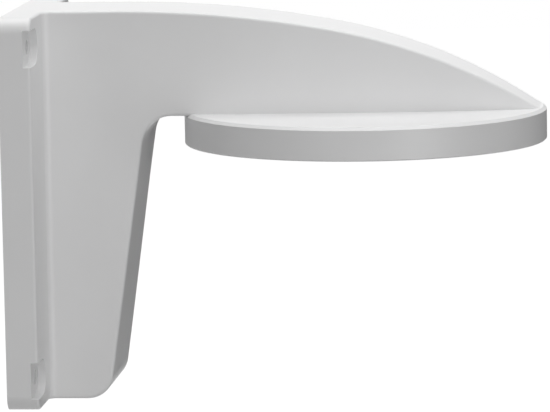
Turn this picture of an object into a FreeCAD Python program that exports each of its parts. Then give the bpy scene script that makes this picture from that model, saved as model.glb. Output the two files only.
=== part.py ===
import FreeCAD, Part
import math
import os
from FreeCAD import Vector

# Wall bracket for a dome camera: one moulded shell.
# X points out from the wall, Y sideways and Z up. The origin lies on the wall plane,
# in the middle of the four wall screws.

# Wall plate
plate_width = 86.0
plate_height = 128.0
plate_depth = 10.5
plate_corner_radius = 5.0
plate_front_wall = 3.0
plate_rim_wall = 3.0

# Wall screws, each in a recess that is open to the side of the plate
screw_spacing_y = 68.0
screw_spacing_z = 108.0
screw_hole_radius = 2.5
screw_recess_radius = 6.0
screw_recess_depth = 2.5
screw_pad_wall = 2.5

# Round camera plate
disc_radius = 59.5
disc_centre_x = 114.5
disc_top_z = 30.0
disc_rim_height = 10.8
disc_rim_wall = 3.0
disc_deck_wall = 3.0
disc_top_edge_chamfer = 1.0
disc_low_edge_chamfer = 0.4

# Side outline of the arm and leg
arm_level_length = 34.0
arm_first_arc_radius = 379.0
arm_first_arc_end_x = 105.0
arm_step_inset = 6.0
arm_tip_setback = 2.0
arm_tip_run_in = 0.7
leg_front_x = 39.6
leg_lean = math.radians(8.25)
leg_corner_radius = 8.5
arch_radius = 10.0
arch_drop = 0.6

# Width of the arm and leg, measured from the middle plane
root_half_width = 18.2
width_taper = 0.0080
tip_narrowing = 8.0
tip_narrowing_power = 5.0
leg_side_draft = 0.008
flare_width = 1.6
flare_height = 26.0
leg_front_turn_in = 1.5
leg_front_turn_length = 10.0
leg_front_turn_limit = 1.2
leg_front_turn_start_z = -30.0
leg_front_turn_rise = 48.0
leg_front_turn_fade = 16.0

# Rounded edges
root_fillet_radius = 2.2
outer_edge_radius = 1.0

# Shell
side_wall = 2.6
outline_wall = 2.8
cavity_end_gap = 16.0
cable_hole_radius = 12.0
cable_hub_wall = 2.4

# Ribs
rib_wall = 2.0
leg_rib_heights = (-18.0, -42.0)
leg_rib_back_x = 8.0
plate_rib_count = 4
plate_rib_spacing = 20.0
deck_ring_radius = 32.0
deck_rib_count = 6
deck_rib_setback = 2.0

# Camera screws in the round plate
camera_screw_count = 3
camera_screw_circle_radius = 44.0
camera_screw_hole_radius = 1.6
camera_boss_radius = 4.5
camera_screw_depth = 8.5

# Reach of a cutting body past the face that it cuts
reach = 2.0

# How close a point has to lie to count as on a plane or on a flank
plane_tolerance = 0.01
flank_tolerance = 0.05

# Knots of the flank surfaces: along the arm in turn-in lengths from the front of the leg,
# upwards in flare heights from the deck, and the number of even steps on to the tip
flank_knots_along = (-1.4, -0.7, 0.0, 0.7, 1.6, 3.6)
flank_knots_up = (-2.2, -1.4, -0.9, -0.45, 0.0, 0.45, 0.9)
flank_tip_steps = 3

plate_top = plate_height / 2.0
plate_straight_y = plate_width / 2.0 - plate_corner_radius
rim_end_x = disc_centre_x + disc_radius
rim_low_z = disc_top_z - disc_rim_height
deck_low_z = disc_top_z - disc_deck_wall
arm_low_z = disc_top_z - disc_deck_wall / 2.0
# The underside of the arm runs in over the rim before it steps down inside the deck
arm_step_x = disc_centre_x - disc_radius + arm_step_inset
# The top of the arm meets the deck just inside the rim and ends below it
arm_tip_x = rim_end_x - arm_tip_setback
arm_end_x = arm_tip_x + arm_tip_run_in


def smooth_step(value):
    """Rise from 0 to 1 with level ends."""
    t = min(max(value, 0.0), 1.0)
    return t * t * (3.0 - 2.0 * t)


def front_x(z):
    """Front of the leg, which leans back towards the wall as it goes down."""
    return leg_front_x + z * math.tan(leg_lean)


def half_width(x, z):
    """Half of the width of the arm and leg at one place of the side view."""
    share = max(x - plate_depth, 0.0) / (rim_end_x - plate_depth)
    width = root_half_width - width_taper * (x - plate_depth)
    width -= tip_narrowing * share ** tip_narrowing_power
    width += leg_side_draft * (disc_top_z - z)
    # Flare towards the round plate, dying out down the leg, up the arm and at the tip
    height = (z - disc_top_z) / flare_height
    flare = smooth_step(1.0 - abs(height)) * smooth_step(1.0 - share)
    start = smooth_step((x - leg_front_x) / leg_front_turn_length + 1.0)
    width += flare_width * flare * start
    # The side turns in towards the front of the leg, most of all below the arch
    turn = max((x - front_x(z)) / leg_front_turn_length + 1.0, 0.0)
    turn = min(turn, leg_front_turn_limit) ** 2
    rise = smooth_step((z - leg_front_turn_start_z) / leg_front_turn_rise)
    fade_up = 1.0 - smooth_step((z - disc_top_z + arch_radius) / leg_front_turn_fade)
    fade_out = 1.0 - smooth_step((x - leg_front_x - arch_radius) / arch_radius)
    return width - leg_front_turn_in * turn * rise * fade_up * fade_out


def knot_means(knots):
    """Means of three knots each, where the poles of a cubic surface with these knots stand."""
    row = [knots[0]] * 3 + knots + [knots[-1]] * 3
    return [sum(row[number + 1:number + 4]) / 3.0 for number in range(len(row) - 4)]


def flank_surface(side, inset):
    """Cubic surface of one flank, in which x and z are the two parameters themselves."""
    along = [leg_front_x + leg_front_turn_length * step for step in flank_knots_along]
    end = rim_end_x + 2.0 * reach
    stride = (end - along[-1]) / flank_tip_steps
    along += [along[-1] + stride * (number + 1) for number in range(flank_tip_steps)]
    along.insert(0, -reach)
    up = [disc_top_z + flare_height * step for step in flank_knots_up]
    up = [-plate_top - reach] + up + [plate_top + reach]
    poles = []
    for x in knot_means(along):
        poles.append([Vector(x, side * (half_width(x, z) - inset), z) for z in knot_means(up)])
    ends_along = [4] + [1] * (len(along) - 2) + [4]
    ends_up = [4] + [1] * (len(up) - 2) + [4]
    surface = Part.BSplineSurface()
    surface.buildFromPolesMultsKnots(poles, ends_along, ends_up, along, up, False, False, 3, 3)
    return surface


def flank_body(side, inset):
    """Everything on the inner side of one flank of the arm and leg."""
    return flank_surface(side, inset).toShape().extrude(Vector(0.0, -side * plate_width, 0.0))


def line(start, end):
    return Part.LineSegment(start, end).toShape()


def rounded_corner(before, corner, after, radius):
    """Ends and middle of the arc that rounds a corner of an outline."""
    to_before = (before - corner).normalize()
    to_after = (after - corner).normalize()
    half_angle = to_before.getAngle(to_after) / 2.0
    tangent = radius / math.tan(half_angle)
    centre = corner + (to_before + to_after).normalize() * (radius / math.sin(half_angle))
    middle = centre + (corner - centre).normalize() * radius
    return corner + to_before * tangent, middle, corner + to_after * tangent


def leg_edges(inset, back_x):
    """Underside of the outline: leg foot, leg front, arch and the way in to the deck."""
    bottom = inset - plate_top
    under = disc_top_z - arch_drop + inset
    shift = inset / math.cos(leg_lean)
    back = Vector(back_x, 0, bottom)
    foot = Vector(front_x(bottom) - shift, 0, bottom)
    arch = Vector(front_x(under) - shift, 0, under)
    step = Vector(arm_step_x, 0, under)
    foot_arc = rounded_corner(back, foot, arch, leg_corner_radius - inset)
    arch_arc = rounded_corner(foot, arch, step, arch_radius + inset)
    edges = [line(back, foot_arc[0]), Part.Arc(*foot_arc).toShape()]
    edges += [line(foot_arc[2], arch_arc[0]), Part.Arc(*arch_arc).toShape()]
    edges.append(line(arch_arc[2], step))
    return edges, back, step


def upright(angle):
    """Direction in the side view, turned from straight up towards the tip."""
    return Vector(math.sin(angle), 0, math.cos(angle))


def arm_edges(inset, back_x, end_x):
    """Top of the outline: a level run and two tangent arcs that come down on the rim."""
    turn = math.asin((arm_first_arc_end_x - arm_level_length) / arm_first_arc_radius)
    first_centre = Vector(arm_level_length, 0, plate_top - arm_first_arc_radius)
    joint = first_centre + upright(turn) * arm_first_arc_radius
    to_tip = Vector(arm_tip_x, 0, disc_top_z) - joint
    second_radius = -to_tip.Length ** 2 / (2.0 * to_tip.dot(upright(turn)))
    second_centre = joint - upright(turn) * second_radius
    first = arm_first_arc_radius - inset
    second = second_radius - inset
    end_turn = math.asin((end_x - second_centre.x) / second)
    back = Vector(back_x, 0, plate_top - inset)
    level_end = first_centre + upright(0.0) * first
    joint = first_centre + upright(turn) * first
    end = second_centre + upright(end_turn) * second
    first_middle = first_centre + upright(turn / 2.0) * first
    second_middle = second_centre + upright((turn + end_turn) / 2.0) * second
    edges = [line(back, level_end), Part.Arc(level_end, first_middle, joint).toShape()]
    edges.append(Part.Arc(joint, second_middle, end).toShape())
    return edges, back, end


def arm_and_leg(outline_inset, side_inset, back_x, end_x, floor_z):
    """Side outline carried across the width and trimmed by both flanks."""
    lower, low_back, step = leg_edges(outline_inset, back_x)
    upper, top_back, tip = arm_edges(outline_inset, back_x, end_x)
    floor_start = Vector(step.x + abs(step.z - floor_z), 0, floor_z)
    floor_end = Vector(tip.x, 0, floor_z)
    closing = [line(step, floor_start), line(floor_start, floor_end)]
    closing += [line(floor_end, tip), line(top_back, low_back)]
    outline = Part.Face(Part.Wire(Part.__sortEdges__(lower + upper + closing)))
    outline.translate(Vector(0, -plate_width / 2.0, 0))
    block = outline.extrude(Vector(0, plate_width, 0))
    for side in (-1.0, 1.0):
        block = block.common(flank_body(side, side_inset))
    return block


def centred_box(x_from, x_to, width, z_from, z_to):
    return Part.makeBox(x_to - x_from, width, z_to - z_from, Vector(x_from, -width / 2.0, z_from))


def disc_cylinder(radius, z_from, z_to):
    """Upright cylinder on the axis of the round plate."""
    return Part.makeCylinder(radius, z_to - z_from, Vector(disc_centre_x, 0, z_from))


def samples(edge):
    """Three points along an edge, clear of its ends."""
    first, last = edge.FirstParameter, edge.LastParameter
    return [edge.valueAt(first + (last - first) * share) for share in (0.1, 0.5, 0.9)]


def pick_edges(shape, test):
    return [edge for edge in shape.Edges if all(test(point) for point in samples(edge))]


def level(value, target):
    return abs(value - target) < plane_tolerance


def wall_plate_block(inset, x_from, x_to):
    """Rounded rectangle of the wall plate, moved in by the inset."""
    side = plate_width / 2.0 - inset
    top = plate_top - inset
    block = centred_box(x_from, x_to, 2.0 * side, -top, top)
    uprights = pick_edges(block, lambda p: level(abs(p.y), side) and level(abs(p.z), top))
    return block.makeFillet(plate_corner_radius - inset, uprights)


def is_root_edge(point):
    """Where a flank of the arm and leg meets the front of the wall plate."""
    inside = abs(point.y) < plate_straight_y and not level(abs(point.z), plate_top)
    return level(point.x, plate_depth) and inside


def is_outer_edge(point, outline, flank):
    """On the outer edges of the plate front, and along the flanks of the arm and leg."""
    if point.x < plate_depth - plane_tolerance:
        return False
    on_top_or_foot = level(abs(point.z), plate_top)
    if level(point.x, plate_depth):
        return on_top_or_foot or abs(point.y) > plate_straight_y
    if point.x < plate_depth + root_fillet_radius:
        return on_top_or_foot
    in_side_view = Part.Vertex(point.x, 0, point.z)
    on_outline = outline.distToShape(in_side_view)[0] < plane_tolerance
    return on_outline and abs(abs(point.y) - flank.value(point.x, point.z).y) < flank_tolerance


def outer_body():
    """Arm, leg and wall plate as one full body with its rounded edges."""
    body = arm_and_leg(0.0, 0.0, 0.0, arm_end_x, arm_low_z)
    body = body.fuse(wall_plate_block(0.0, 0.0, plate_depth)).removeSplitter()
    body = body.makeFillet(root_fillet_radius, pick_edges(body, is_root_edge))
    visible = leg_edges(0.0, 0.0)[0] + arm_edges(0.0, 0.0, arm_end_x)[0]
    outline = Part.Compound(visible)
    flank = flank_surface(1.0, 0.0)
    outer = pick_edges(body, lambda p: is_outer_edge(p, outline, flank))
    return body.makeFillet(outer_edge_radius, outer)


def round_plate_block():
    """Full disc of the camera plate with its eased rim."""
    disc = disc_cylinder(disc_radius, rim_low_z, disc_top_z)
    disc = disc.makeChamfer(disc_top_edge_chamfer, pick_edges(disc, lambda p: level(p.z, disc_top_z)))
    return disc.makeChamfer(disc_low_edge_chamfer, pick_edges(disc, lambda p: level(p.z, rim_low_z)))


def cable_passage():
    """Hollow of the arm and leg, open at the wall, with its floor at the top of the deck."""
    end_x = rim_end_x - cavity_end_gap
    passage = arm_and_leg(outline_wall, side_wall, -reach, end_x, disc_top_z)
    for rib in leg_ribs():
        passage = passage.cut(rib)
    return passage


def deck_recess():
    """Hollow on the underside of the round plate, without its ribs and screw bosses."""
    recess = disc_cylinder(disc_radius - disc_rim_wall, rim_low_z - reach, deck_low_z)
    for rib in deck_ribs():
        recess = recess.cut(rib)
    for x, y in camera_screw_places():
        recess = recess.cut(upright_cylinder(camera_boss_radius, x, y, rim_low_z - reach, disc_top_z))
    return recess


def plate_recess():
    """Hollow on the wall side of the plate, without its ribs, screw pads and middle sleeve."""
    recess = wall_plate_block(plate_rim_wall, -reach, plate_depth - plate_front_wall)
    for rib in plate_ribs():
        recess = recess.cut(rib)
    pad_radius = screw_recess_radius + screw_pad_wall
    for y, z in wall_screw_places():
        recess = recess.cut(screw_slot(y, z, pad_radius, -reach, plate_depth))
    # The walls of the arm and leg run on through the plate to the wall
    return recess.cut(arm_and_leg(0.0, 0.0, -reach, arm_tip_x - reach, disc_top_z))


def plate_ribs():
    """Level ribs across the back of the plate, cut off by the cable passage."""
    front = plate_depth - plate_front_wall / 2.0
    width = plate_width - plate_rim_wall
    first = -plate_rib_spacing * (plate_rib_count - 1) / 2.0
    ribs = []
    for number in range(plate_rib_count):
        z = first + plate_rib_spacing * number
        ribs.append(centred_box(0.0, front, width, z - rib_wall / 2.0, z + rib_wall / 2.0))
    return ribs


def leg_ribs():
    """Cross ribs in the leg, short of the wall so that the cable passes behind them."""
    ribs = []
    for z in leg_rib_heights:
        front = front_x(z) - outline_wall / 2.0
        width = 2.0 * root_half_width - side_wall
        ribs.append(centred_box(leg_rib_back_x, front, width, z - rib_wall / 2.0, z + rib_wall / 2.0))
    return ribs


def deck_ribs():
    """Ring and radial ribs under the round plate, set back from its lower rim."""
    low = rim_low_z + deck_rib_setback
    high = disc_top_z - disc_deck_wall / 2.0
    ring = disc_cylinder(deck_ring_radius + rib_wall / 2.0, low, high)
    ribs = [ring.cut(disc_cylinder(deck_ring_radius - rib_wall / 2.0, low, high))]
    ribs.append(disc_cylinder(cable_hole_radius + cable_hub_wall, low, high))
    length = disc_radius - disc_rim_wall / 2.0 - cable_hole_radius
    for number in range(deck_rib_count):
        start = Vector(cable_hole_radius, -rib_wall / 2.0, low)
        rib = Part.makeBox(length, rib_wall, high - low, start)
        rib.rotate(Vector(0, 0, 0), Vector(0, 0, 1), 360.0 * number / deck_rib_count)
        rib.translate(Vector(disc_centre_x, 0, 0))
        ribs.append(rib)
    return ribs


def camera_screw_places():
    """Upright screw axes in the round plate, the first one towards the tip."""
    places = []
    for number in range(camera_screw_count):
        angle = 2.0 * math.pi * number / camera_screw_count
        x = disc_centre_x + camera_screw_circle_radius * math.cos(angle)
        places.append((x, camera_screw_circle_radius * math.sin(angle)))
    return places


def wall_screw_places():
    """Level screw axes in the wall plate."""
    return [(y * screw_spacing_y / 2.0, z * screw_spacing_z / 2.0) for y in (-1, 1) for z in (-1, 1)]


def level_cylinder(radius, y, z, x_from, x_to):
    return Part.makeCylinder(radius, x_to - x_from, Vector(x_from, y, z), Vector(1, 0, 0))


def upright_cylinder(radius, x, y, z_from, z_to):
    return Part.makeCylinder(radius, z_to - z_from, Vector(x, y, z_from))


def screw_slot(y, z, radius, x_from, x_to):
    """Round-ended slot around a wall screw that runs out of the side of the plate."""
    side = 1.0 if y > 0.0 else -1.0
    slot = level_cylinder(radius, y, z, x_from, x_to)
    width = plate_width / 2.0 - abs(y) + reach
    start = min(y, y + side * width)
    box = Part.makeBox(x_to - x_from, width, 2.0 * radius, Vector(x_from, start, z - radius))
    return slot.fuse(box).removeSplitter()


def bracket():
    """The whole moulding."""
    body = outer_body().fuse(round_plate_block()).removeSplitter()
    for hollow in (plate_recess(), cable_passage(), deck_recess()):
        body = body.cut(hollow)
    recess_floor_x = plate_depth - screw_recess_depth
    for y, z in wall_screw_places():
        body = body.cut(screw_slot(y, z, screw_recess_radius, recess_floor_x, plate_depth + reach))
        body = body.cut(level_cylinder(screw_hole_radius, y, z, -reach, plate_depth))
    hole_top_z = rim_low_z + camera_screw_depth
    for x, y in camera_screw_places():
        hole = upright_cylinder(camera_screw_hole_radius, x, y, rim_low_z - reach, hole_top_z)
        body = body.cut(hole)
    return body.cut(disc_cylinder(cable_hole_radius, rim_low_z - reach, disc_top_z + reach))


def main():
    body = bracket()
    os.makedirs("parts", exist_ok=True)
    body.Solids[0].exportStep("parts/bracket.step")
    print("solids:", len(body.Solids), "valid:", body.isValid())


main()
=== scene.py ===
import math

import bpy
from mathutils import Matrix, Vector


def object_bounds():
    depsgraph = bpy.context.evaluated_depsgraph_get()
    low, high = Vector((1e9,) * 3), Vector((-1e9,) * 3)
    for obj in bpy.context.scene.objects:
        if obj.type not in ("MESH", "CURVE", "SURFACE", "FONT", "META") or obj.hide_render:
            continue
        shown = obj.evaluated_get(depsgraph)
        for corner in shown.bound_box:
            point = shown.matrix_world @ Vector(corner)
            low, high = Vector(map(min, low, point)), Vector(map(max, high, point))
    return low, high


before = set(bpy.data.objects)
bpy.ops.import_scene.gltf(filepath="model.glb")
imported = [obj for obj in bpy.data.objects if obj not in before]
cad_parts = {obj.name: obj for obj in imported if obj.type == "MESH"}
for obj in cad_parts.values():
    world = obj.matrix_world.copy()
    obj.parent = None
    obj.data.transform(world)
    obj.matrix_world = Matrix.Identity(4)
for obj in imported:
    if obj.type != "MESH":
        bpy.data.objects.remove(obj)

CAD_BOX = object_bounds()

# Camera: where the photograph was taken from
PHOTO_WIDTH_PX = 550.0
FOCAL_LENGTH_PX = 4237.0
SENSOR_WIDTH_MM = 36.0
CAMERA_REACH = 50.0
CAMERA_AZIMUTH = math.radians(6.0)
CAMERA_ELEVATION = math.radians(7.668)
CAMERA_ROLL = math.radians(-1.058)
CAMERA_PLACE = Vector((0.22904, -1.37988, 0.18405))

# Room: the bracket hangs well clear of the floor, as it does on a wall. Where the floor is
# seen it glows, least below the bracket and most from the end of the reach on.
FLOOR_DROP = 0.30
FLOOR_SIZE = 9.0
FLOOR_COLOUR = (0.55, 0.55, 0.55, 1.0)
GLOW_REACH = (0.3, 2.0)
GLOW_NEAR = 0.63
GLOW_FAR = 0.92
AMBIENT_STRENGTH = 0.15
WHITE = (1.0, 1.0, 1.0, 1.0)

# Soft lamps, all turned to the middle of the bracket: name, place, side in metres, watts
LAMP_TARGET = (0.09, 0.0, 0.0)
LAMPS = (
    ("top_lamp", (0.10, 0.10, 1.30), 1.4, 15.6),
    ("high_lamp", (0.30, -0.80, 1.10), 1.0, 1.9),
    ("near_lamp", (0.10, -1.90, 0.35), 1.4, 2.0),
    ("side_lamp", (1.05, -1.35, 0.10), 0.5, 5.2),
)

# Dark card beside and behind the tip, which keeps light off what faces away from the wall
CARD_FROM = (0.12, 1.50)
CARD_TO = (0.75, -0.30)
CARD_TOP = 0.10
CARD_COLOUR = (0.04, 0.04, 0.04, 1.0)

# Shell: white moulded plastic, with a wide faint wave and the fine grain of the mould
SHELL_IOR = 1.5
SHELL_COLOUR = (0.845, 0.845, 0.847, 1.0)
SHELL_COLOUR_LOW = (0.795, 0.795, 0.797, 1.0)
SHELL_ROUGHNESS_LOW = 0.36
SHELL_ROUGHNESS_HIGH = 0.46
WAVE_SCALE = 38.0
WAVE_DETAIL = 3.0
WAVE_DEPTH = 0.00012
WAVE_STRENGTH = 0.35
GRAIN_SCALE = 2600.0
GRAIN_DETAIL = 2.0
GRAIN_DEPTH = 0.00002
GRAIN_STRENGTH = 0.5


def tree_of(block):
    block.use_nodes = True
    block.node_tree.nodes.clear()
    return block.node_tree


def add(tree, kind, **inputs):
    """A node with some of its sockets set by name."""
    node = tree.nodes.new(kind)
    for name, value in inputs.items():
        node.inputs[name.replace("_", " ")].default_value = value
    return node


def shell_material():
    """White plastic with a soft sheen, faint cloudiness and the fine grain of the mould."""
    material = bpy.data.materials.new("white_shell")
    tree = tree_of(material)
    link = tree.links.new
    place = add(tree, "ShaderNodeTexCoord").outputs["Object"]
    out = add(tree, "ShaderNodeOutputMaterial")
    shader = add(tree, "ShaderNodeBsdfPrincipled", IOR=SHELL_IOR)
    link(shader.outputs["BSDF"], out.inputs["Surface"])

    cloud = add(tree, "ShaderNodeTexNoise", Scale=WAVE_SCALE, Detail=WAVE_DETAIL)
    link(place, cloud.inputs["Vector"])
    colour = add(tree, "ShaderNodeMix")
    colour.data_type = "RGBA"
    colour.inputs["A"].default_value = SHELL_COLOUR_LOW
    colour.inputs["B"].default_value = SHELL_COLOUR
    link(cloud.outputs["Fac"], colour.inputs["Factor"])
    link(colour.outputs["Result"], shader.inputs["Base Color"])

    grain = add(tree, "ShaderNodeTexNoise", Scale=GRAIN_SCALE, Detail=GRAIN_DETAIL)
    link(place, grain.inputs["Vector"])
    rough = add(tree, "ShaderNodeMapRange",
                To_Min=SHELL_ROUGHNESS_LOW, To_Max=SHELL_ROUGHNESS_HIGH)
    link(cloud.outputs["Fac"], rough.inputs["Value"])
    link(rough.outputs["Result"], shader.inputs["Roughness"])

    wave = add(tree, "ShaderNodeBump", Strength=WAVE_STRENGTH, Distance=WAVE_DEPTH)
    link(cloud.outputs["Fac"], wave.inputs["Height"])
    fine = add(tree, "ShaderNodeBump", Strength=GRAIN_STRENGTH, Distance=GRAIN_DEPTH)
    link(grain.outputs["Fac"], fine.inputs["Height"])
    link(wave.outputs["Normal"], fine.inputs["Normal"])
    link(fine.outputs["Normal"], shader.inputs["Normal"])
    return material


def dress_shell():
    """The node keeps its shape and gets its finish."""
    material = shell_material()
    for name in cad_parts:
        thing = bpy.data.objects[name]
        thing.data.materials.clear()
        thing.data.materials.append(material)


def seen_ray(tree):
    """1 for what the camera sees, straight, in a reflection or through glass."""
    ray = add(tree, "ShaderNodeLightPath")
    first = add(tree, "ShaderNodeMath")
    first.operation = "MAXIMUM"
    tree.links.new(ray.outputs["Is Camera Ray"], first.inputs[0])
    tree.links.new(ray.outputs["Is Glossy Ray"], first.inputs[1])
    second = add(tree, "ShaderNodeMath")
    second.operation = "MAXIMUM"
    tree.links.new(first.outputs[0], second.inputs[0])
    tree.links.new(ray.outputs["Is Transmission Ray"], second.inputs[1])
    return second.outputs[0]


def floor():
    """Plain pale floor. Where it is seen, it is lifted to white, by more where less light falls.

    The lift stays under white below the bracket, so that its shadow is kept.
    """
    low = CAD_BOX[0][2] - FLOOR_DROP
    bpy.ops.mesh.primitive_plane_add(size=FLOOR_SIZE, location=(0.0, 0.0, low))
    thing = bpy.context.object
    thing.name = "floor"
    material = bpy.data.materials.new("pale_floor")
    tree = tree_of(material)
    out = add(tree, "ShaderNodeOutputMaterial")
    matt = add(tree, "ShaderNodeBsdfDiffuse", Color=FLOOR_COLOUR)
    glow = add(tree, "ShaderNodeEmission", Color=WHITE)
    away = add(tree, "ShaderNodeVectorMath")
    away.operation = "LENGTH"
    level = add(tree, "ShaderNodeMapRange", From_Min=GLOW_REACH[0], From_Max=GLOW_REACH[1],
                To_Min=GLOW_NEAR, To_Max=GLOW_FAR)
    level.interpolation_type = "SMOOTHSTEP"
    lift = add(tree, "ShaderNodeMath")
    lift.operation = "MULTIPLY"
    both = add(tree, "ShaderNodeAddShader")
    tree.links.new(add(tree, "ShaderNodeTexCoord").outputs["Object"], away.inputs[0])
    tree.links.new(away.outputs["Value"], level.inputs["Value"])
    tree.links.new(level.outputs["Result"], lift.inputs[0])
    tree.links.new(seen_ray(tree), lift.inputs[1])
    tree.links.new(lift.outputs[0], glow.inputs["Strength"])
    tree.links.new(matt.outputs[0], both.inputs[0])
    tree.links.new(glow.outputs[0], both.inputs[1])
    tree.links.new(both.outputs[0], out.inputs["Surface"])
    thing.data.materials.append(material)


def dark_card():
    """Upright card that the camera doesn't see, but light and reflections do."""
    low = CAD_BOX[0][2] - FLOOR_DROP
    corners = [
        (*CARD_FROM, low), (*CARD_TO, low), (*CARD_TO, CARD_TOP), (*CARD_FROM, CARD_TOP)
    ]
    mesh = bpy.data.meshes.new("dark_card")
    mesh.from_pydata(corners, [], [(0, 1, 2, 3)])
    thing = bpy.data.objects.new("dark_card", mesh)
    bpy.context.collection.objects.link(thing)
    material = bpy.data.materials.new("dark_cloth")
    tree = tree_of(material)
    out = add(tree, "ShaderNodeOutputMaterial")
    cloth = add(tree, "ShaderNodeBsdfDiffuse", Color=CARD_COLOUR)
    tree.links.new(cloth.outputs[0], out.inputs["Surface"])
    mesh.materials.append(material)
    thing.visible_camera = False


def room_light():
    """Even surroundings: dim as light on the object, white where they are seen."""
    world = bpy.data.worlds.new("room")
    bpy.context.scene.world = world
    tree = tree_of(world)
    out = add(tree, "ShaderNodeOutputWorld")
    sky = add(tree, "ShaderNodeBackground", Color=WHITE)
    level = add(tree, "ShaderNodeMapRange", To_Min=AMBIENT_STRENGTH, To_Max=1.0)
    tree.links.new(seen_ray(tree), level.inputs["Value"])
    tree.links.new(level.outputs["Result"], sky.inputs["Strength"])
    tree.links.new(sky.outputs[0], out.inputs["Surface"])


def soft_lamps():
    for name, place, side, power in LAMPS:
        lamp = bpy.data.lights.new(name, "AREA")
        lamp.shape = "SQUARE"
        lamp.size = side
        lamp.energy = power
        thing = bpy.data.objects.new(name, lamp)
        thing.location = place
        way = Vector(LAMP_TARGET) - Vector(place)
        thing.rotation_euler = way.to_track_quat("-Z", "Y").to_euler()
        bpy.context.collection.objects.link(thing)


def camera():
    data = bpy.data.cameras.new("camera")
    data.sensor_fit = "HORIZONTAL"
    data.sensor_width = SENSOR_WIDTH_MM
    data.lens = FOCAL_LENGTH_PX / PHOTO_WIDTH_PX * SENSOR_WIDTH_MM
    data.clip_end = CAMERA_REACH
    thing = bpy.data.objects.new("camera", data)
    bpy.context.collection.objects.link(thing)
    turn = Matrix.Rotation(CAMERA_AZIMUTH, 4, "Z")
    tilt = Matrix.Rotation(math.pi / 2.0 - CAMERA_ELEVATION, 4, "X")
    roll = Matrix.Rotation(CAMERA_ROLL, 4, "Z")
    thing.matrix_world = Matrix.Translation(CAMERA_PLACE) @ turn @ tilt @ roll
    bpy.context.scene.camera = thing


camera()
floor()
dark_card()
room_light()
soft_lamps()
dress_shell()
bpy.context.scene.view_settings.view_transform = "Standard"
